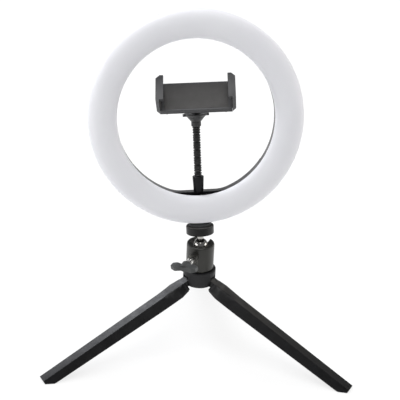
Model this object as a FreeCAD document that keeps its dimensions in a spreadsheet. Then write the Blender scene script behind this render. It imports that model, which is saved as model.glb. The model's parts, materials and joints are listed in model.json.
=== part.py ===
"""Ring light: an LED ring on a mini ball head and a folding table tripod, with a phone clip on a
gooseneck in the middle of the ring. Lengths are in millimetres and angles in degrees.

Four frames carry the pieces. The stand frame has its Z axis up the middle of the tripod. The head
frame starts at the centre of the ball and leans with the light. The clip frame starts at the centre
of the phone clip's own ball, with -Y out of the front of its plate. A leg frame starts at that leg's
hinge, with +X along the leg.
"""
import FreeCAD, Part
import math
import os
import re
import Sketcher
from FreeCAD import Placement, Rotation, Vector

X, Y, Z = Vector(1, 0, 0), Vector(0, 1, 0), Vector(0, 0, 1)

SIZES = {
    # where the stand is, and how the light is set on it
    "axis_left": 3.98, "axis_front": -35.4, "stand_turn": -2.96, "light_tilt": 12.96,
    "light_roll": 3.58, "clip_turn": -5.2, "clip_tilt": 44.5, "clip_spin": 0.55,
    # tripod hub
    "hub_radius": 15.7, "hub_bottom": 63.7, "hub_top": 79.2, "hub_core": 5.2, "slot_half": 4.5,
    "slot_top": 73.6, "pin_radius": 1.5, "pin_hole": 1.55, "pin_length": 16.0, "plug_radius": 4.4,
    # legs: the hinge, and the leg's cross-section at its hub end and at its tip
    "hinge_out": 10.5, "hinge_up": 68.0, "leg_slope": 24.2, "shoulder_start": 8.0,
    "neck_start": 6.6, "neck_half": 9.4, "shoulder_rise": 0.9, "shoulder_long": 9.0,
    "runout_long": 26.0, "leg_length": 168.8, "grip_radius": 15.4, "crown_radius": 14.5,
    "tongue_half": 4.2, "tongue_radius": 4.4, "facet_half": 4.4, "edge_half_hub": 12.0,
    "edge_half_tip": 9.4, "edge_depth_hub": 7.2, "edge_depth_tip": 5.4, "wall": 2.0,
    "pad_proud": 0.4, "foot_long": 13.0,
    # ball head
    "housing_radius": 13.3, "housing_top": 106.3, "shoulder_up": 104.6, "ball_height": 103.6,
    "ball_radius": 7.2, "ball_gap": 0.08, "lip_rise": 1.4, "seat_column": 4.2,
    "funnel_radius": 11.5, "stud_radius": 3.1, "stud_hole": 3.15, "knob_turn": 245.3,
    "wing_turn": 9.0, "screw_height": 97.4, "screw_radius": 2.4, "boss_radius": 4.4,
    "boss_end": 19.5, "collar_radius": 3.2, "collar_start": 22.8, "collar_end": 26.4,
    "wing_half": 12.2, "wing_start": 29.6, "wing_end": 41.0, "wing_height": 6.2,
    # platform on the ball's stem
    "stem_radius": 2.9, "platform_bottom": 11.6, "platform_top": 19.1, "platform_radius": 13.25,
    "pad_top": 20.0, "wheel_bottom": 20.2, "wheel_top": 22.7, "wheel_radius": 10.6,
    "stud_top": 28.0,
    # light: the ring's centre is ring_height above the ball, its seam plane ring_front before it
    "ring_height": 123.9, "ring_front": 6.5, "ring_radius": 100.0, "hole_radius": 73.0,
    "hole_front": 8.5, "crown_front": 18.4, "diffuser_wall": 2.0, "cover_back": 7.5,
    "cover_outer": 99.4, "cover_inner": 74.0, "cover_wall": 1.8, "bridge_drop": 70.9,
    "bridge_front": 2.0, "bridge_blend": 30.0, "base_bottom": 22.95, "base_top": 29.2,
    "board_front": 4.4, "board_wall": 1.2, "board_inner": 77.0, "board_outer": 94.3,
    "post_circle": 86.5, "post_radius": 2.4, "led_long": 3.5, "led_wide": 2.8, "led_high": 0.8,
    "cool_circle": 91.4, "warm_circle": 81.2, "insert_radius": 4.2, "insert_long": 5.5,
    "gland_side": 24.0, "gland_radius": 4.0, "gland_out": 4.2, "lead_radius": 1.9,
    # gooseneck
    "hose_bottom": 68.0, "rib_pitch": 3.62, "rib_ring": 2.45, "rib_tube": 1.25, "core_radius": 3.05,
    "link_ball": 1.9, "link_gap": 0.05, "ferrule_foot": 4.7, "ferrule_radius": 5.4,
    # phone clip: the ball in the gooseneck's cup, and the plate with its two jaws
    "clip_height": 126.1, "clip_ball": 4.8, "clip_neck": 1.95, "neck_head": 3.0, "clip_gap": 0.08,
    "nut_top": 127.3, "nut_bottom": 124.2, "nut_radius": 10.9, "lug_radius": 12.3,
    "plate_front": 18.0, "plate_back": 12.85, "plate_low": -7.4, "plate_high": 23.6,
    "clip_half": 36.4, "clip_shift": 1.2, "lip_half": 29.4, "lip_low": -3.7, "jaw_reach": 31.0,
    "corner_cut": 3.6, "screw_side": 27.0, "lip_wall": 3.0, "jaw_wall": 3.2, "frame_end": 33.0,
    "skin": 1.6, "tongue_front": 16.25, "tongue_back": 14.55, "rail": 2.5,
}
LEG_TURNS = {"back": 90, "left": 210, "right": 330}
LED_COUNT = 36
POST_ANGLES = [30, 90, 150, 210, 330]
HOSE_JOINTS = 6

os.makedirs("parts", exist_ok=True)
doc = FreeCAD.newDocument("ring_light")
sheet = doc.addObject("Spreadsheet::Sheet", "dims")
for row, (alias, size) in enumerate(SIZES.items(), 1):
    sheet.set(f"A{row}", alias.replace("_", " "))
    sheet.set(f"B{row}", str(size))
    sheet.setAlias(f"B{row}", alias)
doc.recompute()
pieces = {}


def size(expression):
    """The number that an expression of sheet names comes to."""
    return float(sheet.evalExpression(expression))


def bound(expression):
    """The same expression as other objects write it, with the sheet's name before each alias."""
    return re.sub("[a-z_]+", lambda m: "dims." + m[0] if m[0] in SIZES else m[0], expression)


def bind(thing, **expressions):
    """Tie an object's properties to the sheet; at_x, at_y and at_z are its place."""
    for prop, expression in expressions.items():
        path = "Placement.Base." + prop[-1] if prop.startswith("at_") else prop
        thing.setExpression(path, bound(expression))
    return thing


def primitive(kind, name, rotation=None, **expressions):
    thing = doc.addObject("Part::" + kind, name)
    if rotation:
        thing.Placement = Placement(Vector(), rotation)
    return bind(thing, **expressions)


def cylinder(name, radius, low, high, at_x="0", at_y="0"):
    """An upright cylinder from one height to another."""
    return primitive("Cylinder", name, Radius=radius, Height=f"{high} - ({low})",
                     at_x=at_x, at_y=at_y, at_z=low)


def box(name, x, y, z):
    """A box between three pairs of sheet expressions."""
    return primitive("Box", name, Length=f"{x[1]} - ({x[0]})", Width=f"{y[1]} - ({y[0]})",
                     Height=f"{z[1]} - ({z[0]})", at_x=x[0], at_y=y[0], at_z=z[0])


def fuse(name, things):
    joined = doc.addObject("Part::MultiFuse", name)
    joined.Shapes = things
    return joined


def cut(name, base, tools):
    result = doc.addObject("Part::Cut", name)
    result.Base = base
    result.Tool = tools[0] if len(tools) == 1 else fuse(name + "_tools", tools)
    return result


def group(name, things):
    """Identical pieces kept as separate solids in one node."""
    together = doc.addObject("Part::Compound", name)
    together.Links = things
    return together


def turned(name, points):
    """A body turned about Z from a closed outline of (radius, height) sheet expressions."""
    body = doc.addObject("PartDesign::Body", name)
    sketch = body.newObject("Sketcher::SketchObject", name + "_outline")
    plane = next(f for f in body.Origin.OriginFeatures if f.Role == "XZ_Plane")
    sketch.AttachmentSupport = [(plane, "")]
    sketch.MapMode = "FlatFace"
    corners = [Vector(size(r), size(h), 0) for r, h in points]
    count = len(corners)
    for i in range(count):
        sketch.addGeometry(Part.LineSegment(corners[i], corners[(i + 1) % count]), False)
    for i in range(count):
        sketch.addConstraint(Sketcher.Constraint("Coincident", i, 2, (i + 1) % count, 1))
    for i, (expressions, corner) in enumerate(zip(points, corners)):
        for way, axis, expression, value in (("DistanceX", -2, expressions[0], corner.x),
                                             ("DistanceY", -1, expressions[1], corner.y)):
            if abs(value) < 1e-9:
                sketch.addConstraint(Sketcher.Constraint("PointOnObject", i, 1, axis))
                continue
            number = sketch.addConstraint(Sketcher.Constraint(way, -1, 1, i, 1, value))
            sketch.setExpression(f"Constraints[{number}]", bound(expression))
    spin = body.newObject("PartDesign::Revolution", name + "_turned")
    spin.Profile = sketch
    spin.ReferenceAxis = (sketch, ["V_Axis"])
    spin.Angle = 360
    return body


def shaped(name, shape):
    """A piece whose shape comes straight from Part's own functions."""
    feature = doc.addObject("Part::Feature", name)
    feature.Shape = shape
    return feature


def node(label, thing, placement):
    """Name a finished sub-part and put it where it belongs.

    A primitive whose own place is tied to the sheet is held in a compound, which can be moved.
    """
    if any(path.strip(".").startswith("Placement") for path, _ in thing.ExpressionEngine):
        thing = group(thing.Name + "_held", [thing])
    thing.Label = label
    pieces[label] = (thing, placement)


def spin(angle, axis=Z, at=Vector()):
    return Placement(at, Rotation(axis, angle))


STAND = spin(size("stand_turn"), Z, Vector(size("axis_left"), size("axis_front"), 0))
BALL = Placement(Vector(size("axis_left"), size("axis_front"), size("ball_height")), Rotation())
HEAD = BALL * spin(-size("light_tilt"), X) * spin(-size("light_roll"), Y)
CLIP = (HEAD * spin(size("clip_turn"), Z, Vector(0, 0, size("clip_height")))
        * spin(-size("clip_tilt"), X) * spin(-size("clip_spin"), Y))
PLATE = CLIP * Placement(Vector(size("clip_shift"), 0, 0), Rotation())
KNOB = STAND * spin(size("knob_turn"), Z, Vector(0, 0, size("screw_height"))) * spin(90, Y)


# ---- tripod hub -----------------------------------------------------------------------------------
def around(angle, out, up):
    """A place in the stand frame on one leg's centre line."""
    turn = math.radians(angle)
    return Vector(out * math.cos(turn), out * math.sin(turn), up)


def make_hub():
    blank = turned("hub_blank", [
        ("0", "hub_bottom"), ("hub_radius - 1.4", "hub_bottom"), ("hub_radius", "hub_bottom + 1.4"),
        ("hub_radius", "hub_top - 0.7"), ("hub_radius - 0.7", "hub_top"), ("0", "hub_top")])
    tools = [cylinder("stud_bore", "stud_hole", "hub_top - 8", "hub_top + 1"),
             cylinder("plug_recess", "plug_radius", "hub_bottom - 1", "hub_bottom + 2.5")]
    for side, angle in LEG_TURNS.items():
        slot = box("slot_" + side, ("hub_core", "hub_radius + 2"), ("-slot_half", "slot_half"),
                   ("hub_bottom - 1", "slot_top"))
        tools.append(turn_copy(slot, angle))
        hole = primitive("Cylinder", "pin_hole_" + side, Radius="pin_hole", Height="pin_length + 0.4")
        hole.Placement = pin_place(angle, size("pin_length") / 2 + 0.2)
        tools.append(hole)
    node("hub", cut("hub_cut", blank, tools), STAND)
    node("hub_plug", turned("hub_plug_body", [
        ("0", "hub_bottom - 0.6"), ("plug_radius - 0.6", "hub_bottom - 0.6"),
        ("plug_radius - 0.05", "hub_bottom"), ("plug_radius - 0.05", "hub_bottom + 2.4"),
        ("0", "hub_bottom + 2.4")]), STAND)
    pins = []
    for side, angle in LEG_TURNS.items():
        pin = primitive("Cylinder", "pin_" + side, Radius="pin_radius", Height="pin_length")
        pin.Placement = pin_place(angle, size("pin_length") / 2)
        pins.append(pin)
    node("hinge_pins", group("pins", pins), STAND)
    node("head_stud", cylinder("head_stud_rod", "stud_radius", "hub_top - 7.8", "hub_top + 7.6"), STAND)


def turn_copy(thing, angle):
    """Turn a finished tool about Z, through a compound that holds it."""
    holder = doc.addObject("Part::Compound", thing.Name + "_turned")
    holder.Links = [thing]
    holder.Placement = spin(angle)
    return holder


def pin_place(angle, half):
    """A hinge pin's start: it lies across its leg, half its length to each side."""
    across = Rotation(Z, angle) * Rotation(X, -90)
    side = Rotation(Z, angle).multVec(Y)
    return Placement(around(angle, size("hinge_out"), size("hinge_up")) - side * half, across)


# ---- legs: shells with a flat crown that fold together into a round grip ---------------------------
def leg_section(x, crown, facet, edge, depth, inner):
    """One cross-section of a leg: crown facet, two side facets, and straight sides inwards."""
    low = crown - depth
    points = [Vector(x, -facet, crown), Vector(x, facet, crown), Vector(x, edge, low),
              Vector(x, edge * 0.96, low - inner), Vector(x, -edge * 0.96, low - inner),
              Vector(x, -edge, low)]
    return Part.makePolygon(points + points[:1])


def leg_shape():
    """The leg in its own frame, with the grip's axis hinge_out below the hinge."""
    out, start, end = size("hinge_out"), size("shoulder_start"), size("leg_length")
    crown, rise = size("crown_radius") - out, size("shoulder_rise")
    facet, wall = size("facet_half"), size("wall")
    hub_edge, tip_edge = size("edge_half_hub"), size("edge_half_tip")
    hub_depth, tip_depth = size("edge_depth_hub"), size("edge_depth_tip")
    shoulder, runout = start + size("shoulder_long"), start + size("runout_long")

    def loft(shrink, low):
        ends = [(start - 0.01, crown, hub_edge - 2 * rise, hub_depth - rise),
                (shoulder, crown + rise, hub_edge + rise, hub_depth),
                (runout, crown, hub_edge, hub_depth), (end, crown, tip_edge, tip_depth)]
        wires = [leg_section(x, top - shrink, facet - shrink * 0.5, edge - shrink * 1.3,
                             depth - shrink * 0.3, low) for x, top, edge, depth in ends]
        spans = [Part.makeLoft(wires[i:i + 2], True, True) for i in range(3)]
        return spans[0].fuse(spans[1]).fuse(spans[2])

    blank = loft(0, 0.8)
    grip = Part.makeCylinder(size("grip_radius"), end + 20, Vector(-10, 0, -out), X)
    wedge = Part.makePolygon([Vector(-10, 0, -out), Vector(-10, 60, -out + 60 / math.sqrt(3) + 0.3),
                              Vector(-10, 60, 60), Vector(-10, -60, 60),
                              Vector(-10, -60, -out + 60 / math.sqrt(3) + 0.3), Vector(-10, 0, -out)])
    sector = Part.Face(wedge).extrude(Vector(end + 20, 0, 0))
    outer = blank.common(grip).common(sector)
    hollow = loft(wall, 6.0)
    keep = Part.makeBox(end - start - 16, 40, 40, Vector(start + 5, -20, -30))
    shell = outer.cut(hollow.common(keep).common(sector))
    ribs = [Part.makeBox(1.6, 14, 3.2, Vector(start + share * (end - start), -7, crown - wall - 3.0))
            for share in (0.3, 0.5, 0.7)]
    for rib in ribs:
        shell = shell.fuse(rib.common(outer))
    neck, side = size("neck_start"), size("neck_half")
    roof = Part.Face(leg_section(neck, crown - 0.7, facet, side, hub_depth - 2.4, 1.4))
    neck_part = roof.extrude(Vector(start - neck + 1, 0, 0))
    half = size("tongue_half")
    tongue = Part.makeCylinder(size("tongue_radius"), 2 * half, Vector(0, -half, 0), Y)
    link = Part.makeBox(start + 2, 2 * half, 6.4, Vector(0, -half, -2.6))
    leg = shell.fuse(neck_part).fuse(tongue).fuse(link)
    hole = Part.makeCylinder(size("pin_hole"), 4 * half, Vector(0, -2 * half, 0), Y)
    return leg.cut(hole).removeSplitter()


def make_legs():
    leg, slope = leg_shape(), size("leg_slope")
    end, wall = size("leg_length"), size("wall")
    crown = size("crown_radius") - size("hinge_out")
    sample = spin(slope, Y, Vector(size("hinge_out"), 0, size("hinge_up")))
    floor = Part.makeBox(400, 400, 100, Vector(-200, -200, -100 + size("pad_proud")))
    floor.Placement = sample.inverse() * floor.Placement
    trimmed = leg.cut(floor)
    depth, edge = size("edge_depth_tip"), size("edge_half_tip")
    foot_long = size("foot_long")
    section = leg_section(end - foot_long - 2, crown - wall - 0.05, 2.4, edge - 2.8, depth - 1.4, 4.0)
    block = Part.Face(section).extrude(Vector(foot_long + 0.4, 0, 0))
    ground = Part.makeBox(400, 400, 100, Vector(-200, -200, -100))
    ground.Placement = sample.inverse() * ground.Placement
    pad = block.cut(ground)
    for side, angle in LEG_TURNS.items():
        place = STAND * spin(angle) * sample
        node("leg_" + side, shaped("leg_shell_" + side, trimmed.cut(pad)), place)
        node("foot_" + side, shaped("foot_pad_" + side, pad), place)


# ---- ball head ------------------------------------------------------------------------------------
def make_ball_head():
    cavity = "(ball_radius + ball_gap)"
    lip = f"sqrt({cavity} * {cavity} - lip_rise * lip_rise)"
    blank = turned("housing_blank", [
        ("stud_hole", "hub_top"), ("housing_radius - 2", "hub_top"),
        ("housing_radius - 2", "hub_top + 0.9"), ("housing_radius - 0.9", "hub_top + 0.9"),
        ("housing_radius", "hub_top + 1.8"), ("housing_radius", "shoulder_up"),
        ("housing_radius - 0.3", "housing_top - 0.5"), ("housing_radius - 0.9", "housing_top"),
        ("funnel_radius", "housing_top"), (lip, "ball_height + lip_rise"),
        ("5", "ball_height + lip_rise - 0.6"), ("5", "ball_height - 12.2"),
        ("stud_hole", "ball_height - 12.2")])
    boss = primitive("Cylinder", "screw_boss", Radius="boss_radius", Height="boss_end - 9")
    boss.Placement = STAND.inverse() * KNOB * Placement(Vector(0, 0, 9), Rotation())
    ball_room = primitive("Sphere", "ball_room", Radius=cavity, at_z="ball_height")
    seat_room = cylinder("seat_room", cavity, "ball_height - 12.2", "ball_height")
    screw_hole = primitive("Cylinder", "screw_hole", Radius="screw_radius + 0.05", Height="30")
    screw_hole.Placement = STAND.inverse() * KNOB
    notch = box("stem_notch", ("4", "20"), ("-stem_radius - 1.2", "stem_radius + 1.2"),
                ("ball_height - stem_radius - 0.3", "housing_top + 4"))
    mouth = turn_copy(notch, size("knob_turn") - 180 - 6)
    joined = fuse("housing_joined", [blank, boss])
    node("ball_housing", cut("housing_cut", joined, [ball_room, seat_room, screw_hole, mouth]), STAND)

    seat = turned("seat_blank", [
        ("0", "ball_height - 12"), ("ball_radius - 0.6", "ball_height - 12"),
        ("ball_radius", "ball_height - 11.4"), ("ball_radius", "ball_height - 8.7"),
        ("seat_column", "ball_height - 8.7"), ("seat_column", "ball_height - 5"),
        ("0", "ball_height - 5")])
    node("ball_seat", cut("seat_cut", seat, [primitive(
        "Sphere", "seat_hollow", Radius="ball_radius + 0.04", at_z="ball_height")]), STAND)
    node("head_ball", primitive("Sphere", "head_ball_sphere", Radius="ball_radius"), HEAD)

    pad = cylinder("pressure_rod", "screw_radius", "ball_radius - 2.6", "9.6")
    drop = size("ball_height") - size("screw_height")
    hollow = primitive("Sphere", "pressure_hollow", Radius="ball_radius + 0.05")
    hollow.Placement = Placement(Vector(-drop, 0, 0), Rotation())
    node("pressure_pad", cut("pressure_cut", pad, [hollow]), KNOB)
    node("clamp_screw", cylinder("clamp_rod", "screw_radius", "9.8", "wing_start"), KNOB)
    node("knob_collar", turned("collar_body", [
        ("screw_radius + 0.02", "collar_start"), ("collar_radius - 0.3", "collar_start"),
        ("collar_radius", "collar_start + 0.3"), ("collar_radius", "collar_start + 1.5"),
        ("collar_radius - 0.5", "collar_start + 1.8"), ("collar_radius", "collar_start + 2.1"),
        ("collar_radius", "collar_end - 0.3"), ("collar_radius - 0.3", "collar_end"),
        ("screw_radius + 0.02", "collar_end")]), KNOB)
    node("wing_knob", shaped("wing_knob_shape", wing_shape()), KNOB * spin(size("wing_turn")))


def wing_shape():
    """A T-shaped wing: a tapered stem, and two lobes that widen towards their tips."""
    start, end, half = size("wing_start"), size("wing_end"), size("wing_half")
    high, low = size("wing_height"), size("collar_end") + 0.05
    stem = Part.makeCone(4.7, 3.9, end - 3 - low, Vector(0, 0, low), Z)
    waist = 0.62
    outline = [Vector(0, -half, start + 1.6), Vector(0, -half * 0.72, start),
               Vector(0, -3, start + 1.5), Vector(0, 3, start + 1.5), Vector(0, half * 0.72, start),
               Vector(0, half, start + 1.6), Vector(0, half, end - 2.6), Vector(0, half * 0.7, end),
               Vector(0, 3, end - 1.2), Vector(0, -3, end - 1.2), Vector(0, -half * 0.7, end),
               Vector(0, -half, end - 2.6)]
    slab = Part.Face(Part.makePolygon(outline + outline[:1])).extrude(Vector(high, 0, 0))
    slab.translate(Vector(-high / 2, 0, 0))
    thick, thin = high / 2, high * waist / 2
    profile = [Vector(thin, 0, 0), Vector(thick, half * 0.6, 0), Vector(thick - 0.9, half + 0.1, 0),
               Vector(-thick + 0.9, half + 0.1, 0), Vector(-thick, half * 0.6, 0),
               Vector(-thin, 0, 0)]
    mirror = [Vector(p.x, -p.y, 0) for p in reversed(profile[1:-1])]
    waisted = Part.Face(Part.makePolygon(profile + mirror + profile[:1])).extrude(Vector(0, 0, 60))
    wing = slab.common(waisted).fuse(stem)
    bore = Part.makeCylinder(size("screw_radius") + 0.02, start - low + 0.05, Vector(0, 0, low - 0.02), Z)
    return wing.cut(bore).removeSplitter()


def make_platform():
    stem = turned("stem_blank", [
        ("0", "ball_radius - 1"), ("stem_radius", "ball_radius - 1"),
        ("stem_radius", "platform_bottom - 1.2"), ("stem_radius + 1.2", "platform_bottom"),
        ("stem_radius", "platform_bottom"), ("stem_radius", "platform_bottom + 1"),
        ("0", "platform_bottom + 1")])
    foot = primitive("Sphere", "stem_foot", Radius="ball_radius + 0.03")
    node("ball_stem", cut("stem_cut", stem, [foot]), HEAD)
    node("platform", turned("platform_body", [
        ("stem_radius", "platform_bottom"), ("platform_radius - 0.8", "platform_bottom"),
        ("platform_radius", "platform_bottom + 0.8"), ("platform_radius", "platform_top"),
        ("stud_hole", "platform_top"), ("stud_hole", "platform_bottom + 1"),
        ("stem_radius", "platform_bottom + 1")]), HEAD)
    node("platform_pad", turned("platform_pad_body", [
        ("stud_hole", "platform_top"), ("platform_radius - 0.2", "platform_top"),
        ("platform_radius - 0.2", "pad_top - 0.2"), ("platform_radius - 0.5", "pad_top"),
        ("stud_hole", "pad_top")]), HEAD)
    node("camera_stud", turned("camera_stud_body", [
        ("0", "platform_bottom + 1.1"), ("stud_radius", "platform_bottom + 1.1"),
        ("stud_radius", "stud_top - 0.8"), ("stud_radius - 0.8", "stud_top"), ("0", "stud_top")]), HEAD)
    wheel = turned("wheel_blank", [
        ("stud_radius + 0.07", "wheel_bottom"), ("wheel_radius - 0.4", "wheel_bottom"),
        ("wheel_radius", "wheel_bottom + 0.4"), ("wheel_radius", "wheel_top - 1.6"),
        ("wheel_radius - 1.6", "wheel_top"), ("stud_radius + 0.07", "wheel_top")])
    grooves = []
    for i in range(24):
        tooth = primitive("Cylinder", f"knurl_{i}", Radius="0.6", Height="wheel_top - wheel_bottom + 2")
        turn = math.radians(15 * i)
        tooth.Placement = Placement(Vector((size("wheel_radius") + 0.2) * math.cos(turn),
                                           (size("wheel_radius") + 0.2) * math.sin(turn),
                                           size("wheel_bottom") - 1), Rotation())
        grooves.append(tooth)
    node("lock_wheel", cut("wheel_cut", wheel, grooves), HEAD)


# ---- the light ------------------------------------------------------------------------------------
def ring_solid(edges):
    """Turn a closed outline, given in (radius, 0, depth) with depth towards the front, about Y."""
    face = Part.Face(Part.Wire(Part.__sortEdges__(edges)))
    solid = face.revolve(Vector(), Z, 360)
    # depth towards the front is -Y in the head frame
    solid.Placement = Placement(Vector(0, 0, size("ring_height")), Rotation(X, 90))
    return solid


def line(a, b):
    return Part.LineSegment(Vector(a[0], 0, a[1]), Vector(b[0], 0, b[1])).toShape()


def bent(points):
    curve = Part.BSplineCurve()
    curve.interpolate([Vector(r, 0, depth) for r, depth in points])
    return curve.toShape()


def crown_points(inset):
    """The diffuser's rounded front, from its outer edge over the crown to its inner edge."""
    outer, inner = size("ring_radius") - inset, size("hole_radius") + inset
    seam, lip, top = size("ring_front"), size("hole_front"), size("crown_front") - inset
    middle, half = (outer + inner) / 2, (outer - inner) / 2
    points = []
    for i in range(13):
        turn = math.pi * i / 12
        base = seam + (lip - seam) * i / 12
        points.append((middle + half * math.cos(turn), base + (top - base) * math.sin(turn) ** 0.86))
    return points


def make_diffuser():
    wall = size("diffuser_wall")
    over, under = crown_points(0), crown_points(wall)
    solid = ring_solid([bent(over), line(over[-1], under[-1]), bent(under), line(under[0], over[0])])
    top = size("crown_front") - wall + 0.4
    for angle in POST_ANGLES:
        post = Part.makeCylinder(size("post_radius"), top - size("board_front") - 0.1,
                                 post_place(angle, top), Y)
        pilot = Part.makeCylinder(0.9, top - size("board_front") - 3, post_place(angle, top - 3), Y)
        solid = solid.fuse(post).cut(pilot)
    node("diffuser", shaped("diffuser_shape", solid), HEAD)


def post_place(angle, front):
    """A point on the screws' circle, this far in front of the head's axis."""
    turn, circle = math.radians(angle), size("post_circle")
    return Vector(circle * math.cos(turn), -front, size("ring_height") + circle * math.sin(turn))


def hole_outline(radius, drop, blend):
    """The hole of the ring with a straight bridge across its bottom and blended corners."""
    side = math.sqrt((radius - blend) ** 2 - (drop - blend) ** 2)
    centre = Vector(side, 0, blend - drop)
    reach = radius / (radius - blend)
    meet = Vector(centre.x * reach, 0, centre.z * reach)
    mid_dir = (meet - centre).normalize() + Vector(0, 0, -1)
    middle = centre + mid_dir.normalize() * blend
    foot = Vector(side, 0, -drop)

    def left(p):
        return Vector(-p.x, 0, p.z)

    edges = [Part.Arc(meet, Vector(0, 0, radius), left(meet)).toShape(),
             Part.Arc(left(meet), left(middle), left(foot)).toShape(),
             Part.LineSegment(left(foot), foot).toShape(),
             Part.Arc(foot, middle, meet).toShape()]
    return Part.Wire(Part.__sortEdges__(edges))


def make_cover():
    outer, inner, wall = size("cover_outer"), size("cover_inner"), size("cover_wall")
    front, back, up = size("ring_front"), size("cover_back"), size("ring_height")
    lip = size("hole_front") - 0.1
    shell = ring_solid([line((inner, lip), (inner, -back + 1.2)), line((inner, -back + 1.2),
                        (inner + 1.2, -back)), line((inner + 1.2, -back), (outer - 3, -back)),
                        line((outer - 3, -back), (outer, -back + 3)), line((outer, -back + 3),
                        (outer, front - 0.1)), line((outer, front - 0.1), (outer - wall, front - 0.1)),
                        line((outer - wall, front - 0.1), (outer - wall, -back + wall + 2)),
                        line((outer - wall, -back + wall + 2), (outer - 4, -back + wall)),
                        line((outer - 4, -back + wall), (inner + wall, -back + wall)),
                        line((inner + wall, -back + wall), (inner + wall, lip)),
                        line((inner + wall, lip), (inner, lip))])
    depth = size("bridge_front") + back
    disc = Part.Face(Part.Wire(Part.makeCircle(inner + 0.5, Vector(), Y)))
    hole = Part.Face(hole_outline(inner, size("bridge_drop"), size("bridge_blend")))
    lower = Part.makeBox(120, 2 * depth, 60, Vector(-60, -depth, -inner - 20))
    bridge = disc.cut(hole).extrude(Vector(0, depth, 0)).common(lower)
    bridge.translate(Vector(0, -size("bridge_front"), up))
    web_low = up - inner - wall - 4
    web = Part.makeBox(16, depth, 6, Vector(-8, -size("bridge_front"), web_low))
    base = size("base_bottom")
    foot = Part.makeBox(22, front + back - 0.4, size("base_top") - base,
                        Vector(-11, -front + 0.1, base))
    foot = foot.makeFillet(4, [foot.Edges[i] for i in (0, 2, 4, 6)])
    solid = shell.fuse(bridge).fuse(web).fuse(foot).common(
        Part.makeBox(300, front + back + 3, 300, Vector(-150, -lip - 0.1, 0)))
    board_back = -size("board_front") + size("board_wall")
    for angle in POST_ANGLES:
        boss = Part.makeCylinder(3.4, back - board_back - 0.05, post_place(angle, -board_back - 0.05), Y)
        hole = Part.makeCylinder(1.5, 30, post_place(angle, 10), Y)
        head = Part.makeCylinder(2.6, 3, post_place(angle, -back + 2), Y)
        solid = solid.fuse(boss).cut(hole).cut(head)
    stud = Part.makeCylinder(size("insert_radius") + 0.02, size("insert_long") + 0.3,
                             Vector(0, 0, base - 0.1), Z)
    neck = Part.makeCylinder(3.05, 30, Vector(0, 0, up - inner - 8), Z)
    gland = Part.makeCylinder(size("gland_radius"), 6, gland_place(back - 4), Y)
    solid = solid.cut(stud).cut(neck).cut(gland)
    node("rear_cover", shaped("rear_cover_shape", solid), HEAD)


def gland_place(back):
    """A point on the lead's way in, low on the back of the ring and this far behind the axis."""
    side, circle = size("gland_side"), size("post_circle")
    return Vector(side, back, size("ring_height") - math.sqrt(circle ** 2 - side ** 2))


def ring_of(shape_at, count, offset):
    """Copies of a small shape around the ring, as separate solids."""
    solids = []
    for i in range(count):
        copy = shape_at.copy()
        copy.rotate(Vector(0, 0, size("ring_height")), Y, offset + 360 * i / count)
        solids.append(copy)
    return Part.makeCompound(solids)


def make_electrics():
    up, front, thick = size("ring_height"), size("board_front"), size("board_wall")
    outer = Part.makeCylinder(size("board_outer"), thick, Vector(0, -front, up), Y)
    board = outer.cut(Part.makeCylinder(size("board_inner"), thick, Vector(0, -front, up), Y))
    for angle in POST_ANGLES:
        board = board.cut(Part.makeCylinder(1.6, 20, post_place(angle, 12), Y))
    node("led_board", shaped("led_board_shape", board), HEAD)
    long, wide, high = size("led_long"), size("led_wide"), size("led_high")
    for name, circle, offset in (("leds_cool", "cool_circle", 0), ("leds_warm", "warm_circle", 5)):
        chip = Part.makeBox(long, high, wide, Vector(-long / 2, -front - high, up + size(circle) - wide / 2))
        node(name, shaped(name + "_shape", ring_of(chip, LED_COUNT, offset)), HEAD)
    back = -front + thick
    low = up - size("post_circle")
    parts = [Part.makeBox(9, 3.2, 6, Vector(20, back, low - 0.5)),
             Part.makeBox(5, 1.6, 4, Vector(-12, back, low - 2)),
             Part.makeBox(5, 1.6, 4, Vector(-20, back, low - 0.5)),
             Part.makeCylinder(2.4, 2.2, Vector(10.5, back, low + 0.5), Y)]
    node("board_parts", shaped("board_parts_shape", Part.makeCompound(parts)), HEAD)
    screws = []
    for angle in POST_ANGLES:
        head_end = -size("cover_back") + 1.8
        head = Part.makeCylinder(2.4, 1.4, post_place(angle, head_end - 0.2), Y)
        rod = Part.makeCylinder(0.85, 13.5, post_place(angle, head_end + 12.8), Y)
        slot = Part.makeBox(3, 1, 0.6, post_place(angle, head_end - 0.8) - Vector(1.5, 0, 0.3))
        cross = Part.makeBox(0.6, 1, 3, post_place(angle, head_end - 0.8) - Vector(0.3, 0, 1.5))
        screws.append(head.fuse(rod).cut(slot).cut(cross))
    node("cover_screws", shaped("cover_screws_shape", Part.makeCompound(screws)), HEAD)


def make_fittings():
    node("base_insert", turned("base_insert_body", [
        ("stud_hole", "base_bottom + 0.1"), ("insert_radius", "base_bottom + 0.1"),
        ("insert_radius", "base_bottom + insert_long"),
        ("stud_hole", "base_bottom + insert_long")]), HEAD)
    back = size("cover_back")
    sleeve = Part.makeCylinder(size("gland_radius") - 0.05, 5.2, gland_place(back - 3.2), Y)
    collar = Part.makeCylinder(size("gland_radius") + 1.4, 1.6, gland_place(back + 0.05), Y)
    nose = Part.makeCone(size("gland_radius") + 1.0, 3.2, size("gland_out") - 1.6,
                         gland_place(back + 1.6), Y)
    lead = Part.makeCylinder(size("lead_radius"), 30, gland_place(back - 10), Y)
    gland = sleeve.fuse(collar).fuse(nose).cut(lead).removeSplitter()
    node("lead_gland", shaped("lead_gland_shape", gland), HEAD)
    node("hose_base", turned("hose_base_body", [
        ("0", "ring_height - cover_inner - 5"), ("3", "ring_height - cover_inner - 5"),
        ("3", "ring_height - bridge_drop + 0.02"),
        ("ferrule_foot", "ring_height - bridge_drop + 0.02"),
        ("ferrule_radius", "hose_bottom - 0.5"), ("ferrule_radius - 0.5", "hose_bottom"),
        ("0", "hose_bottom")]), HEAD)


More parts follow.
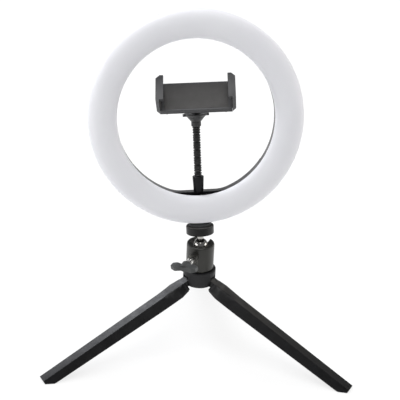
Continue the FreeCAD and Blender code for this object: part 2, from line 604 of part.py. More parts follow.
# ---- gooseneck: ball-jointed links, two ribs to a link ---------------------------------------------
def rib(name, height):
    ring = primitive("Torus", name, Radius1="rib_ring", Radius2="rib_tube")
    return bind(ring, at_z=height)


def make_hose():
    """Joint k of the gooseneck is 2k + 1 rib pitches above its foot."""
    foot = "hose_bottom + 0.3"
    for k in range(HOSE_JOINTS + 1):
        low = f"{foot} + {2 * k - 1} * rib_pitch" if k else "hose_bottom + 0.02"
        joint = f"{foot} + {2 * k + 1} * rib_pitch"
        last = k == HOSE_JOINTS
        top = f"{joint} - 0.02" if last else f"{joint} - 0.8"
        core_low = f"{low} + 0.5" if k else low
        solids = [cylinder(f"core_{k}", "core_radius", core_low, top)]
        first_rib = 2 * k - 1 if k else 0
        for r in range(first_rib, 2 * k + 1):
            solids.append(rib(f"rib_{r}", f"{foot} + {r + 0.5} * rib_pitch"))
        if not last:
            solids.append(cylinder(f"neck_{k}", "1.3", f"{joint} - 1", joint))
            solids.append(primitive("Sphere", f"link_ball_{k}", Radius="link_ball", at_z=joint))
        link = fuse(f"link_joined_{k}", solids)
        if k:
            room = primitive("Sphere", f"link_room_{k}", Radius="link_ball + link_gap", at_z=low)
            link = cut(f"link_cut_{k}", link, [room])
        node(f"hose_link_{k}", link, HEAD)


def make_clip_joint():
    hose_top = f"hose_bottom + 0.3 + {2 * HOSE_JOINTS + 1} * rib_pitch"
    cup = "(clip_ball + clip_gap)"
    rim = f"sqrt({cup} * {cup} - 0.04)"
    blank = turned("socket_blank", [
        ("0", hose_top), ("4.3", hose_top), ("4.6", f"{hose_top} + 0.4"),
        ("4.6", "clip_height - 6.6"), ("4.2", "clip_height - 6.3"), ("5.1", "clip_height - 5.8"),
        ("8.1", "clip_height - 2.1"), ("6.9", "clip_height - 2.1"), ("6.9", "clip_height - 0.2"),
        (rim, "clip_height - 0.2"), ("0", "clip_height - 0.2")])
    room = primitive("Sphere", "socket_room", Radius=cup, at_z="clip_height")
    seat_room = cylinder("socket_seat_room", "2.6", "clip_height - 6.4", "clip_height - 3")
    node("clip_socket", cut("socket_cut", blank, [room, seat_room]), HEAD)
    seat = cylinder("clip_seat_rod", "2.55", "clip_height - 6.3", "clip_height - 3.9")
    node("clip_seat", cut("clip_seat_cut", seat, [primitive(
        "Sphere", "clip_seat_hollow", Radius="clip_ball + 0.04", at_z="clip_height")]), HEAD)
    mouth = f"sqrt({cup} * {cup} - (nut_top - clip_height) * (nut_top - clip_height))"
    nut = turned("nut_blank", [
        ("6.98", "nut_bottom"), ("8.4", "nut_bottom"), ("nut_radius", "nut_top - 0.8"),
        ("nut_radius", "nut_top - 0.3"), ("nut_radius - 0.3", "nut_top"), (mouth, "nut_top"),
        ("6.98", "clip_height")])
    lugs = []
    for i in range(4):
        lug = box(f"lug_{i}", ("7.4", "lug_radius"), ("-1.3", "1.3"), ("nut_top - 2.4", "nut_top - 0.1"))
        lugs.append(turn_copy(lug, 90 * i + 8))
    nut_room = primitive("Sphere", "nut_room", Radius=cup, at_z="clip_height")
    node("clip_nut", cut("nut_cut", fuse("nut_joined", [nut] + lugs), [nut_room]), HEAD)


# ---- phone clip ------------------------------------------------------------------------------------
def make_clip():
    ball = primitive("Sphere", "clip_ball_sphere", Radius="clip_ball")
    rod = primitive("Cylinder", "clip_neck_rod", Rotation(X, 90), Radius="clip_neck",
                    Height="plate_back + 1")
    flange = primitive("Cylinder", "clip_neck_flange", Rotation(X, 90), Radius="4.5",
                       Height="1.6", at_y="1.65 - plate_back")
    head = primitive("Cylinder", "clip_neck_head", Rotation(X, 90), Radius="neck_head", Height="0.6",
                     at_y="-plate_back - 0.75")
    node("clip_ball", fuse("clip_ball_joined", [ball, rod, flange, head]), CLIP)

    low, high, rail = "plate_low", "plate_high", "rail"
    front, back = ("-plate_front", "-plate_front + skin"), ("-plate_front + skin", "-plate_back - skin")
    wall = ("-jaw_reach", "-plate_back")
    hook = ("-jaw_reach", "-jaw_reach + lip_wall")
    frame = fuse("frame_joined", [
        box("front_skin", ("-clip_half", "frame_end"), front, (low, high)),
        box("low_rail", ("-clip_half", "frame_end"), back, (low, f"{low} + {rail}")),
        box("high_rail", ("-clip_half", "frame_end"), back, (f"{high} - {rail}", high)),
        box("end_block", ("-clip_half", "-clip_half + 6"), back, (low, high)),
        box("fixed_wall", ("-clip_half", "-clip_half + jaw_wall"), wall, (low, high)),
        box("fixed_lip", ("-clip_half", "-lip_half"), hook, ("lip_low", high))])
    recess = box("pad_recess", ("-lip_half", "lip_half"), ("-plate_front - 1", "-plate_front + 0.6"),
                 (f"{low} + 1.6", f"{high} - 1.6"))
    tools = [recess] + jaw_corners("fixed", -1)
    node("clip_frame", cut("frame_cut", frame, tools + clip_screw_set("pilot", 0.6, 3.5)), PLATE)
    node("clip_pad", box("clip_pad_sheet", ("-lip_half + 0.1", "lip_half - 0.1"),
                         ("-plate_front - 0.1", "-plate_front + 0.6"),
                         (f"{low} + 1.7", f"{high} - 1.7")), PLATE)
    cover = box("cover_sheet", ("-clip_half + jaw_wall + 0.05", "frame_end"),
                ("-plate_back - skin + 0.05", "-plate_back"), (low, high))
    neck_hole = primitive("Cylinder", "cover_hole", Rotation(X, 90), Radius="clip_neck + 0.1",
                          Height="40", at_x="-clip_shift")
    head_room = primitive("Cylinder", "head_room", Rotation(X, 90), Radius="neck_head + 0.15",
                          Height="40", at_x="-clip_shift", at_y="-plate_back - 0.6")
    node("clip_cover", cut("cover_cut", cover, [neck_hole, head_room] + clip_screw_set("bore", 0.6, 20)),
         PLATE)

    slide = fuse("slide_joined", [
        box("slide_tongue", ("-4", "clip_half - jaw_wall + 0.5"), ("-tongue_front", "-tongue_back"),
            (f"{low} + {rail} + 0.15", f"{high} - {rail} - 0.15")),
        box("slide_wall", ("clip_half - jaw_wall", "clip_half"), wall, (low, high)),
        box("slide_lip", ("lip_half", "clip_half"), hook, ("lip_low", high))])
    node("slide_jaw", cut("slide_cut", slide, jaw_corners("slide", 1)), PLATE)
    for label, inner, outer in (("fixed_jaw_pad", "-clip_half + jaw_wall", "-clip_half + jaw_wall + 0.9"),
                                ("slide_jaw_pad", "clip_half - jaw_wall - 0.9", "clip_half - jaw_wall")):
        node(label, box(label + "_sheet", (inner, outer), ("-jaw_reach + lip_wall + 0.1",
             "-plate_front - 0.3"), (f"{low} + 2", f"{high} - 2")), PLATE)
    springs = []
    for i, height in enumerate(("plate_low + 8", "plate_high - 8")):
        coil, core = (primitive("Cylinder", f"spring_{part}_{i}", Rotation(Y, 90), Radius=radius,
                                Height="26", at_x="-clip_half + 6.1", at_y="-15.4", at_z=height)
                      for part, radius in (("coil", "0.75"), ("core", "0.4")))
        springs.append(cut(f"spring_tube_{i}", coil, [core]))
    node("clip_springs", group("springs", springs), PLATE)
    heads = clip_screw_set("head", 1.3, -0.6)
    rods = clip_screw_set("rod", 0.58, 3.2)
    screws = [fuse(f"clip_screw_{i}", pair) for i, pair in enumerate(zip(heads, rods))]
    node("clip_screws", group("clip_screw_group", screws), PLATE)


def clip_screw_set(name, radius, depth):
    """Cylinders at the clip's four screws, from the back of its cover this deep into its rails."""
    start = size("plate_back") - 0.01
    rods = []
    for i, (side, level) in enumerate((x, z) for x in (-1, 1) for z in ("low", "high")):
        height = size("plate_low") + 1.25 if level == "low" else size("plate_high") - 1.25
        rod = primitive("Cylinder", f"clip_{name}_{i}", Radius=str(radius), Height=str(abs(depth)))
        turn = Rotation(X, 90 if depth > 0 else -90)
        rod.Placement = Placement(Vector(side * size("screw_side"), -start, height), turn)
        rods.append(rod)
    return rods


def jaw_corners(name, side):
    """Wedges that cut the outer corners off one end of the clip, top and bottom."""
    wide = 9.0
    reach = wide / 2 - size("corner_cut") / math.sqrt(2)
    wedges = []
    for level, corner, way in (("low", "plate_low", -1), ("high", "plate_high", 1)):
        block = primitive("Box", f"{name}_{level}_corner", Length=str(wide), Width="40", Height=str(wide))
        middle = Vector(side * (size("clip_half") + reach / math.sqrt(2)), -40,
                        size(corner) + way * reach / math.sqrt(2))
        block.Placement = (Placement(middle, Rotation(Y, 45))
                           * Placement(Vector(-wide / 2, 0, -wide / 2), Rotation()))
        wedges.append(block)
    return wedges


make_hub()
make_legs()
make_ball_head()
make_platform()
make_diffuser()
make_cover()
make_electrics()
make_fittings()
make_hose()
make_clip_joint()
make_clip()

for thing, placement in pieces.values():
    thing.Placement = placement * thing.Placement
doc.recompute()

for thing in doc.Objects:
    if {"Invalid", "Error"} & set(thing.State):
        raise RuntimeError(f"{thing.Name} failed: {thing.State}")
for label, (thing, _) in pieces.items():
    if thing.Shape.isNull() or not thing.Shape.isValid():
        raise RuntimeError(f"{label} has no sound shape")
for label, (thing, _) in pieces.items():
    thing.Shape.exportStep(f"parts/{label}.step")
whole = Part.makeCompound([thing.Shape for thing, _ in pieces.values()]).optimalBoundingBox(False)
print(f"{len(pieces)} pieces; x {whole.XMin:.2f} to {whole.XMax:.2f}; y {whole.YMin:.2f} to "
      f"{whole.YMax:.2f}; z {whole.ZMin:.2f} to {whole.ZMax:.2f}")
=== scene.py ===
"""The looks of the ring light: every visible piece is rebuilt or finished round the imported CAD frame.

The object's sizes are in millimetres, and MM turns them into metres. The studio's are in metres. Places
come from the frame: its joints give the axes of the light's head and of the clamp knob.
"""

import json
import math

import bmesh
import bpy
from mathutils import Matrix, Vector


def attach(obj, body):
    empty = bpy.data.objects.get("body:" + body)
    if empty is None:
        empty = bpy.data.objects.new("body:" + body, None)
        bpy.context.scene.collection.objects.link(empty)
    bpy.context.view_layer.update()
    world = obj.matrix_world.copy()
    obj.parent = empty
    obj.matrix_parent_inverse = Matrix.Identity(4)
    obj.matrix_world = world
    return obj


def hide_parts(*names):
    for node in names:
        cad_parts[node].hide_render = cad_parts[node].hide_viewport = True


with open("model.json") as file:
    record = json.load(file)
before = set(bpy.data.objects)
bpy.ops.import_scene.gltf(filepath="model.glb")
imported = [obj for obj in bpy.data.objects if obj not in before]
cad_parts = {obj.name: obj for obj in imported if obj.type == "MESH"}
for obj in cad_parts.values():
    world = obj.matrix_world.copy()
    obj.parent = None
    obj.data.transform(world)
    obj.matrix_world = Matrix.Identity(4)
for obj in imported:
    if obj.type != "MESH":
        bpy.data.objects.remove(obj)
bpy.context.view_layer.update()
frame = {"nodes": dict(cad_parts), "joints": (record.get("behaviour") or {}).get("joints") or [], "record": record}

MM = 0.001
JOINTS = {joint["name"]: joint for joint in frame["joints"]}
BODY_OF = {node: body for body, nodes in frame["record"]["behaviour"]["bodies"].items() for node in nodes}
SLOT_OF = {part["node"]: part["material_slot"] for part in frame["record"]["subparts"]}


def axes(origin, x, y):
    """A frame from its origin and its X and Y directions."""
    x, y = Vector(x), Vector(y)
    turn = Matrix((x, y, x.cross(y))).transposed().to_4x4()
    return Matrix.Translation(Vector(origin)) @ turn


def joint_axis(name):
    """The direction of a joint's axis."""
    return Vector(JOINTS[name]["axis"]).normalized()


def joint_place(name):
    """A point on a joint's axis."""
    return Vector(JOINTS[name]["pos_m"])


# The head's frame has its origin in the ball, X across the ring, Y through it and Z up it. The knob's
# has Z out along the clamp screw and X down.
HEAD = axes(joint_place("ball_swivel"), joint_axis("hose_bend_1"), joint_axis("hose_bend_2"))
STAND = Matrix.Translation((joint_place("ball_swivel").x, joint_place("ball_swivel").y, 0))
KNOB_OUT = joint_axis("clamp_turn")
KNOB_ROOT = Vector((*joint_place("ball_swivel").xy, joint_place("clamp_turn").z))
KNOB = axes(KNOB_ROOT, (0, 0, -1), Vector((0, 0, 1)).cross(KNOB_OUT))


# ---- camera, light and floor ----------------------------------------------------------------------
CAMERA_PLACE = Vector((-68.3, -835.3, 569.7))   # from the foot of the ball head's axis
CAMERA_HEADING = -4.50                          # degrees from +Y, anticlockwise
CAMERA_DOWN = 26.51                             # degrees below the horizon
CAMERA_ROLL = 2.62                              # degrees about the line of sight
CAMERA_LENS = 89.94                             # with a sensor 36 mm wide

LIGHT_TARGET = Vector((0, 0, 0.15))             # near the middle of the object
WHITE = (1, 1, 1)
SOFTBOXES = {   # direction from the target, distance, width, height, watts, colour
    "overhead_box": ((-0.12, -0.1, 1.0), 2.2, 2.2, 1.9, 38, WHITE),
    "rear_left_box": ((-0.42, 0.64, 0.66), 2.2, 0.9, 1.2, 24, (0.93, 0.95, 1.0)),
    "rear_right_box": ((0.52, 0.6, 0.6), 2.2, 0.6, 0.9, 4, (1.0, 0.96, 0.9)),
    "right_box": ((0.98, -0.12, 0.16), 2.0, 1.3, 0.9, 10, (1.0, 0.97, 0.93)),
    "left_box": ((-0.97, -0.2, 0.16), 2.0, 1.7, 0.9, 13, WHITE),
}
SKY_COLOUR, SKY_STRENGTH = (0.97, 0.98, 1.0), 0.2

FLOOR_HALF_WIDTH, FLOOR_DROP, FLOOR_GLOW = 12, 0.0002, 0.8
PAPER_DARK, PAPER_LIGHT = (0.22, 0.22, 0.22), (0.24, 0.24, 0.24)


def make_camera():
    """The photograph's viewpoint, placed from the foot of the ball head's axis."""
    camera = bpy.data.objects.new("camera", bpy.data.cameras.new("camera"))
    bpy.context.scene.collection.objects.link(camera)
    heading = Matrix.Rotation(math.radians(CAMERA_HEADING), 4, "Z")
    down = Matrix.Rotation(math.radians(90 - CAMERA_DOWN), 4, "X")
    roll = Matrix.Rotation(math.radians(CAMERA_ROLL), 4, "Z")
    camera.matrix_world = STAND @ Matrix.Translation(CAMERA_PLACE * MM) @ heading @ down @ roll
    camera.data.lens = CAMERA_LENS
    camera.data.sensor_width = 36
    camera.data.clip_start = 0.05
    bpy.context.scene.camera = camera


def make_softbox(name, direction, distance, width, height, power, colour):
    """An area light that faces the middle of the object from this direction."""
    light = bpy.data.lights.new(name, "AREA")
    light.shape = "RECTANGLE"
    light.size, light.size_y = width, height
    light.energy = power
    light.color = colour
    lamp = bpy.data.objects.new(name, light)
    bpy.context.scene.collection.objects.link(lamp)
    towards = Vector(direction).normalized()
    lamp.location = LIGHT_TARGET + towards * distance
    lamp.rotation_mode = "QUATERNION"
    lamp.rotation_quaternion = towards.to_track_quat("Z", "Y")


def make_studio():
    """A dim even surround and the softboxes."""
    world = bpy.data.worlds.new("studio")
    world.use_nodes = True
    background = world.node_tree.nodes["Background"]
    background.inputs["Color"].default_value = (*SKY_COLOUR, 1)
    background.inputs["Strength"].default_value = SKY_STRENGTH
    bpy.context.scene.world = world
    bpy.context.scene.view_settings.view_transform = "Standard"
    for name, settings in SOFTBOXES.items():
        make_softbox(name, *settings)


def make_floor():
    """Pale paper that glows a little, so that it stays white under the object."""
    mesh = bpy.data.meshes.new("floor")
    bm = bmesh.new()
    bmesh.ops.create_grid(bm, x_segments=8, y_segments=8, size=FLOOR_HALF_WIDTH)
    bm.to_mesh(mesh)
    bm.free()
    floor = bpy.data.objects.new("floor", mesh)
    bpy.context.scene.collection.objects.link(floor)
    floor.location.z = -FLOOR_DROP
    paper = new_material("floor_paper", PAPER_DARK, 0.9, specular=0.0)
    vary(paper, PAPER_DARK, PAPER_LIGHT, 3.0)
    paper.bsdf.inputs["Emission Color"].default_value = (*WHITE, 1)
    paper.bsdf.inputs["Emission Strength"].default_value = FLOOR_GLOW
    mesh.materials.append(paper.material)


# ---- materials ------------------------------------------------------------------------------------
class Shading:
    """A new material with its shader, and the coordinates that its patterns are laid out in."""

    def __init__(self, name):
        self.material = bpy.data.materials.new(name)
        self.material.use_nodes = True
        self.nodes = self.material.node_tree.nodes
        self.links = self.material.node_tree.links
        self.bsdf = self.nodes["Principled BSDF"]
        self.place = self.nodes.new("ShaderNodeTexCoord").outputs["Object"]

    def add(self, kind, **settings):
        """A new shader node of this kind."""
        node = self.nodes.new("ShaderNode" + kind)
        for name, value in settings.items():
            setattr(node, name, value)
        return node

    def noise(self, scale, detail=3.0, roughness=0.55):
        """A noise pattern's value, about 0.5 on average."""
        node = self.add("TexNoise")
        self.links.new(self.place, node.inputs["Vector"])
        node.inputs["Scale"].default_value = scale
        node.inputs["Detail"].default_value = detail
        node.inputs["Roughness"].default_value = roughness
        return node.outputs["Fac"]

    def range(self, value, low, high, start=0.3, end=0.7):
        """The value stretched so that start becomes low and end becomes high."""
        node = self.add("MapRange")
        self.links.new(value, node.inputs["Value"])
        for name, number in zip(("From Min", "From Max", "To Min", "To Max"), (start, end, low, high)):
            node.inputs[name].default_value = number
        return node.outputs["Result"]

    def mix(self, factor, first, second):
        """A blend of two colours, each a tuple or a socket."""
        node = self.add("Mix", data_type="RGBA")
        self.links.new(factor, node.inputs["Factor"])
        for name, colour in (("A", first), ("B", second)):
            socket = next(s for s in node.inputs if s.name == name and s.type == "RGBA")
            if isinstance(colour, tuple):
                socket.default_value = (*colour, 1)
            else:
                self.links.new(colour, socket)
        return next(s for s in node.outputs if s.type == "RGBA")

    def bump(self, height, depth, strength=1.0):
        """Relief of this depth, in metres, on the shader's normal."""
        node = self.add("Bump")
        node.inputs["Distance"].default_value = depth
        node.inputs["Strength"].default_value = strength
        self.links.new(height, node.inputs["Height"])
        self.links.new(node.outputs["Normal"], self.bsdf.inputs["Normal"])


def new_material(name, colour, roughness, metallic=0.0, specular=0.5):
    """A material with its plain values set on the shader."""
    shading = Shading(name)
    shading.bsdf.inputs["Base Color"].default_value = (*colour, 1)
    shading.bsdf.inputs["Roughness"].default_value = roughness
    shading.bsdf.inputs["Metallic"].default_value = metallic
    shading.bsdf.inputs["Specular IOR Level"].default_value = specular
    return shading


def vary(shading, dark, light, scale, edge_tone=None):
    """Colour that drifts between two tones, with edges made lighter where an edge tone is given: wear on the
    moulded parts, a painted highlight on the anodised ones.
    """
    colour = shading.mix(shading.range(shading.noise(scale), 0, 1), dark, light)
    if edge_tone:
        edge = shading.range(shading.add("NewGeometry").outputs["Pointiness"], 0, 0.7, 0.52, 0.60)
        colour = shading.mix(edge, colour, edge_tone)
    shading.links.new(colour, shading.bsdf.inputs["Base Color"])


def roughen(shading, low, high, scale):
    """Roughness that drifts between two values."""
    rough = shading.range(shading.noise(scale, 4.0), low, high)
    shading.links.new(rough, shading.bsdf.inputs["Roughness"])


def moulded(name, dark, light, rough, grain, depth, specular=0.3, edge_tone=None):
    """Moulded plastic: faint mottling, a fine spark-eroded grain, and edges rubbed a little lighter."""
    shading = new_material(name, dark, rough, specular=specular)
    vary(shading, dark, light, 60, edge_tone)
    roughen(shading, rough - 0.06, rough + 0.08, 140)
    shading.bump(shading.noise(grain, 2.0, 0.6), depth)
    return shading.material


def turned_metal(name, dark, light, rough, lines, depth):
    """Metal off a lathe: fine rings up the height of the piece."""
    shading = new_material(name, dark, rough, metallic=1.0)
    vary(shading, dark, light, 90)
    roughen(shading, rough * 0.7, rough * 1.4, 220)
    wave = shading.add("TexWave", wave_type="BANDS", bands_direction="Z", wave_profile="SIN")
    shading.links.new(shading.place, wave.inputs["Vector"])
    wave.inputs["Scale"].default_value = lines
    wave.inputs["Distortion"].default_value = 0.4
    shading.bump(wave.outputs["Fac"], depth, 0.5)
    return shading.material


EDGE_HIGHLIGHT_GAIN = 5   # how much lighter the anodised edges are painted: a painted highlight along the rim's chamfer, partly wear


def anodised(name, dark, light, rough):
    """Black anodised aluminium: a satin dyed skin with a very fine grain, and paler edges that are a painted
    highlight along the rim's chamfer, partly wear.
    """
    shading = new_material(name, dark, rough, metallic=0.35, specular=0.5)
    # The lighter edge tone here is a painted highlight on the rim's chamfer, with a little wear.
    vary(shading, dark, light, 45, tuple(EDGE_HIGHLIGHT_GAIN * c for c in light))
    roughen(shading, rough - 0.05, rough + 0.07, 180)
    shading.bump(shading.noise(2600, 2.0), 0.000012)
    return shading.material


def opal():
    """The diffuser: milk-white plastic that lets light in a little way, faintly violet."""
    shading = new_material("opal", (0.86, 0.86, 0.9), 0.45, specular=0.2)
    vary(shading, (0.83, 0.83, 0.875), (0.87, 0.87, 0.91), 14)
    roughen(shading, 0.36, 0.48, 90)
    bsdf = shading.bsdf
    bsdf.inputs["Subsurface Weight"].default_value = 0.35
    bsdf.inputs["Subsurface Radius"].default_value = (1.0, 0.95, 1.0)
    bsdf.inputs["Subsurface Scale"].default_value = 0.004
    shading.bump(shading.noise(1500, 2.0), 0.00001)
    return shading.material


def emitter(name, rim, core):
    """An LED's face: a yellow phosphor pool in a pale frame."""
    shading = new_material(name, core, 0.4)
    vary(shading, rim, core, 700)
    roughen(shading, 0.3, 0.5, 400)
    return shading.material


MOULDED = {   # dark tone, light tone, roughness, grain scale, grain depth, specular, worn edge
    "hub_plastic": ((0.012, 0.012, 0.013), (0.018, 0.018, 0.020), 0.54, 2400, 0.00002, 0.3,
                    (0.035, 0.035, 0.035)),
    "leg_plastic": ((0.005, 0.005, 0.0052), (0.008, 0.008, 0.009), 0.34, 2600, 0.000012, 0.24,
                    (0.03, 0.03, 0.032)),
    "foot_rubber": ((0.010, 0.010, 0.010), (0.018, 0.018, 0.018), 0.75, 1500, 0.00004, 0.2),
    "seat_plastic": ((0.5, 0.5, 0.48), (0.6, 0.6, 0.57), 0.4, 1800, 0.00001),
    "knob_plastic": ((0.042, 0.044, 0.044), (0.060, 0.063, 0.063), 0.48, 1900, 0.00003, 0.45,
                     (0.1, 0.105, 0.105)),
    "platform_black": ((0.003, 0.003, 0.003), (0.006, 0.006, 0.006), 0.26, 2200, 0.000008, 0.3,
                       (0.03, 0.03, 0.03)),
    "pad_rubber": ((0.058, 0.056, 0.054), (0.070, 0.067, 0.065), 0.62, 1400, 0.00003, 0.4),
    "cover_plastic": ((0.005, 0.005, 0.006), (0.009, 0.009, 0.010), 0.30, 2200, 0.00001, 0.2,
                      (0.03, 0.03, 0.03)),
    "board_white": ((0.72, 0.74, 0.7), (0.8, 0.81, 0.78), 0.35, 900, 0.00001),
    "board_black": ((0.01, 0.01, 0.01), (0.02, 0.02, 0.02), 0.4, 1500, 0.00001),
    "hose_black": ((0.008, 0.008, 0.008), (0.014, 0.014, 0.014), 0.28, 2000, 0.00001, 0.4),
    "clip_plastic": ((0.036, 0.036, 0.037), (0.048, 0.048, 0.050), 0.46, 2300, 0.00002, 0.45,
                     (0.075, 0.075, 0.08)),
}
TURNED_METALS = {   # dark tone, light tone, roughness, turning lines, their depth
    "steel": ((0.42, 0.42, 0.43), (0.62, 0.62, 0.62), 0.3, 900, 0.00001),
    "chrome": ((0.40, 0.39, 0.37), (0.46, 0.45, 0.43), 0.05, 300, 0.000002),
    "nickel": ((0.80, 0.79, 0.76), (0.9, 0.89, 0.85), 0.12, 700, 0.000006),
    "brass": ((0.55, 0.40, 0.15), (0.72, 0.54, 0.24), 0.28, 800, 0.00001),
    "spring_steel": ((0.4, 0.4, 0.4), (0.6, 0.6, 0.6), 0.3, 900, 0.00001),
}
ANODISED = {"anodised": ((0.026, 0.026, 0.023), (0.036, 0.035, 0.031), 0.34)}
EMITTERS = {   # rim, phosphor
    "led_cool": ((0.85, 0.84, 0.78), (0.85, 0.78, 0.30)),
    "led_warm": ((0.85, 0.80, 0.70), (0.85, 0.52, 0.12)),
}


def make_materials():
    """Every material by the name of its slot."""
    looks = {"opal": opal()}
    for make, table in ((moulded, MOULDED), (turned_metal, TURNED_METALS),
                        (anodised, ANODISED), (emitter, EMITTERS)):
        for name, look in table.items():
            looks[name] = make(name, *look)
    return looks


# ---- building helpers -----------------------------------------------------------------------------
def add_piece(name, mesh, node, smooth_angle=35):
    """Put a finished mesh in the place of a CAD node, on its body and in its material slot."""
    piece = bpy.data.objects.new(name, mesh)
    bpy.context.scene.collection.objects.link(piece)
    shade(mesh, smooth_angle)
    mesh.materials.clear()
    mesh.materials.append(LOOKS[SLOT_OF[node]])
    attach(piece, BODY_OF[node])
    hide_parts(node)
    return piece


def shade(mesh, smooth_angle):
    """Smooth shading that breaks at edges sharper than an angle."""
    bm = bmesh.new()
    bm.from_mesh(mesh)
    for face in bm.faces:
        face.smooth = True
    for edge in bm.edges:
        edge.smooth = len(edge.link_faces) == 2 and edge.calc_face_angle(0) < math.radians(smooth_angle)
    bm.to_mesh(mesh)
    bm.free()


def soften(piece, width, segments=3, angle=32):
    """Round a piece's sharp edges for real, and let its large faces stay flat in the shading."""
    for edge in piece.data.edges:
        edge.use_edge_sharp = False
    bevel = piece.modifiers.new("rounded_edges", "BEVEL")
    bevel.width = width * MM
    bevel.segments = segments
    bevel.limit_method = "ANGLE"
    bevel.angle_limit = math.radians(angle)
    bevel.use_clamp_overlap = True
    normals = piece.modifiers.new("even_shading", "WEIGHTED_NORMAL")
    normals.keep_sharp = True
    return piece


def refined(node, width, segments=3, angle=32):
    """A CAD node's own form with its triangles joined into clean faces and its edges rounded."""
    mesh = frame["nodes"][node].data.copy()
    mesh.name = node + "_form"
    bm = bmesh.new()
    bm.from_mesh(mesh)
    bmesh.ops.remove_doubles(bm, verts=bm.verts, dist=0.002 * MM)
    bmesh.ops.dissolve_limit(bm, angle_limit=math.radians(0.6), verts=bm.verts, edges=bm.edges)
    bm.to_mesh(mesh)
    bm.free()
    return soften(add_piece(node + "_form", mesh, node), width, segments, angle)


def lathe(bm, profile, place, segments=128, closed=False):
    """Turn a profile of (radius, height) in millimetres about a frame's Z axis."""
    rings = []
    for radius, height in profile:
        if radius < 1e-6:
            rings.append([bm.verts.new(place @ Vector((0, 0, height * MM)))])
            continue
        turn = (2 * math.pi * i / segments for i in range(segments))
        rings.append([bm.verts.new(place @ Vector((radius * math.cos(t) * MM, radius * math.sin(t) * MM,
                                                   height * MM))) for t in turn])
    pairs = list(zip(rings, rings[1:] + rings[:1])) if closed else list(zip(rings, rings[1:]))
    for low, high in pairs:
        for i in range(segments):
            j = (i + 1) % segments
            corners = [low[i % len(low)], low[j % len(low)], high[j % len(high)], high[i % len(high)]]
            corners = list(dict.fromkeys(corners))
            if len(corners) > 2:
                bm.faces.new(corners)


def turned_piece(name, profile, place, node, segments=128, closed=False, smooth_angle=35):
    """A piece turned from a profile, in the place of a CAD node."""
    mesh = bpy.data.meshes.new(name)
    bm = bmesh.new()
    lathe(bm, profile, place, segments, closed)
    bmesh.ops.recalc_face_normals(bm, faces=bm.faces)
    bm.to_mesh(mesh)
    bm.free()
    return add_piece(name, mesh, node, smooth_angle)


def arc(centre, radius, start, end, steps=6):
    """Points round an arc in a profile; angles are in degrees from +radius towards +height."""
    turns = (math.radians(start + (end - start) * i / steps) for i in range(steps + 1))
    return [(centre[0] + radius * math.cos(t), centre[1] + radius * math.sin(t)) for t in turns]


# ---- pieces ---------------------------------------------------------------------------------------
RING_HEIGHT = 123.9                   # the ring's middle above the ball's centre, along the head
RING_RADIUS, HOLE_RADIUS = 100.0, 73.0
SEAM, LIP, CROWN = 6.5, 8.5, 18.4     # the diffuser's outer edge, inner edge and crown, from the back
CROWN_FULLNESS, DIFFUSER_WALL = 0.86, 2.0
RING_PLACE = HEAD @ Matrix.Translation((0, 0, RING_HEIGHT * MM)) @ Matrix.Rotation(math.pi / 2, 4, "X")


def crown_profile(inset, steps=56):
    """The diffuser's rounded section from its outer edge, over the crown, to its inner edge."""
    outer, inner = RING_RADIUS - inset, HOLE_RADIUS + inset
    middle, half = (outer + inner) / 2, (outer - inner) / 2
    points = []
    for i in range(steps + 1):
        turn = math.pi * i / steps
        base = SEAM + (LIP - SEAM) * i / steps
        rise = (CROWN - inset - base) * math.sin(turn) ** CROWN_FULLNESS
        points.append((middle + half * math.cos(turn), base + rise))
    return points


def make_diffuser():
    """The white ring: a thin rounded shell, open at the back."""
    outside = crown_profile(0)
    inside = crown_profile(DIFFUSER_WALL)[::-1]
    turned_piece("diffuser_ring", outside + inside, RING_PLACE, "diffuser", 224, closed=True)


REFINED = {   # how far each piece's edges are rounded
    "rear_cover": 0.5, "hub": 0.5, "ball_housing": 0.3, "wing_knob": 0.7, "lock_wheel": 0.25,
    "platform": 0.4, "ball_stem": 0.1, "platform_pad": 0.2, "leg_back": 0.5, "leg_left": 0.5,
    "leg_right": 0.5, "foot_back": 0.3, "foot_left": 0.3, "foot_right": 0.3, "clip_frame": 0.35,
    "slide_jaw": 0.35, "clip_cover": 0.25, "clip_pad": 0.15, "fixed_jaw_pad": 0.2, "slide_jaw_pad": 0.2,
    "clip_socket": 0.3, "clip_nut": 0.25, "hose_base": 0.3, "lead_gland": 0.2, "hub_plug": 0.2,
    "head_ball": 0.1, "knob_collar": 0.1, "clip_ball": 0.2, "cover_screws": 0.1, "clip_screws": 0.15,
}
WING_END = 41.0                       # from the ball head's axis, along the clamp screw
WING_SLIM = (0.82, 1.05, 0.74)        # height, span and depth of the wing against its CAD form


def make_forms():
    """The pieces that keep their CAD form, with the wing knob slimmed towards its outer end."""
    for node, width in REFINED.items():
        refined(node, width)
    wing_end = KNOB @ Matrix.Translation((0, 0, WING_END * MM))
    slim = wing_end @ Matrix.Diagonal((*WING_SLIM, 1)) @ wing_end.inverted()
    bpy.data.objects["wing_knob_form"].data.transform(slim)


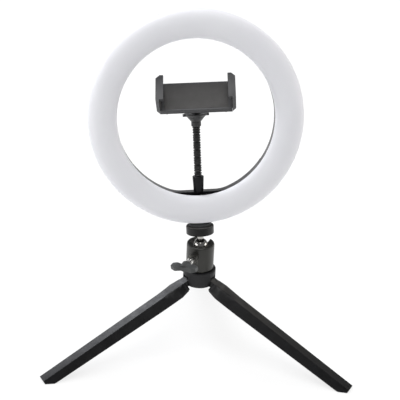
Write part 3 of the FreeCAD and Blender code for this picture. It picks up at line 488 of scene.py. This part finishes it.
HOSE_FOOT, HALF_LINK, LAST_LINK = 68.3, 3.62, 6
RIB_PITCH, RIB_RING, RIB_TUBE, HOSE_CORE = HALF_LINK * 2 / 3, 2.72, 0.98, 3.2
HOLLOW, DOME = 2.8, 2.75              # the hollow in a link's foot, over the dome of the link below
FOOT_GAP, TOP_GAP = 0.5, 0.8          # what a link leaves free on each side of its joints
FOOT_OVERLAP, TOP_INSET = 0.28, 0.02  # the hose's ends, in the ferrule and under the socket
RIB_STEPS = 24


def rib_points(low, high, foot, top):
    """The ribs' outline between two heights. The ribs are counted down from the link's top."""
    points = []
    for i in range(round((top - foot) / RIB_PITCH * RIB_STEPS) - 1, 0, -1):
        height = top - RIB_PITCH * i / RIB_STEPS
        off = RIB_PITCH * ((i / RIB_STEPS) % 1 - 0.5)
        if low < height < high and abs(off) < RIB_TUBE:
            points.append((max(HOSE_CORE, RIB_RING + math.sqrt(RIB_TUBE ** 2 - off ** 2)), height))
    return points


def make_hose():
    """The gooseneck's links: round ribs on a core, and a dome on each link that closes the joint above."""
    for k in range(LAST_LINK + 1):
        foot = HOSE_FOOT + (2 * k - 1 if k else 0) * HALF_LINK
        top = HOSE_FOOT + (2 * k + 1) * HALF_LINK
        low = foot + FOOT_GAP if k else HOSE_FOOT - FOOT_OVERLAP
        high = top - TOP_GAP if k < LAST_LINK else top - TOP_INSET
        profile = arc((0, foot), HOLLOW, 90, 10, 8) if k else [(0, low)]
        profile += [(HOSE_CORE, low), *rib_points(low, high, foot, top), (HOSE_CORE, high)]
        profile += arc((0, top), DOME, -17, 90, 12) if k < LAST_LINK else [(0, high)]
        turned_piece(f"hose_rib_{k}", profile, HEAD, f"hose_link_{k}", 64)


def finish_cad_nodes():
    """Every CAD node gets its finished material, for those that are shown in their own form."""
    for node, thing in frame["nodes"].items():
        thing.data.materials.clear()
        thing.data.materials.append(LOOKS[SLOT_OF[node]])


LOOKS = make_materials()
make_camera()
make_studio()
make_floor()
make_diffuser()
make_forms()
make_hose()
finish_cad_nodes()
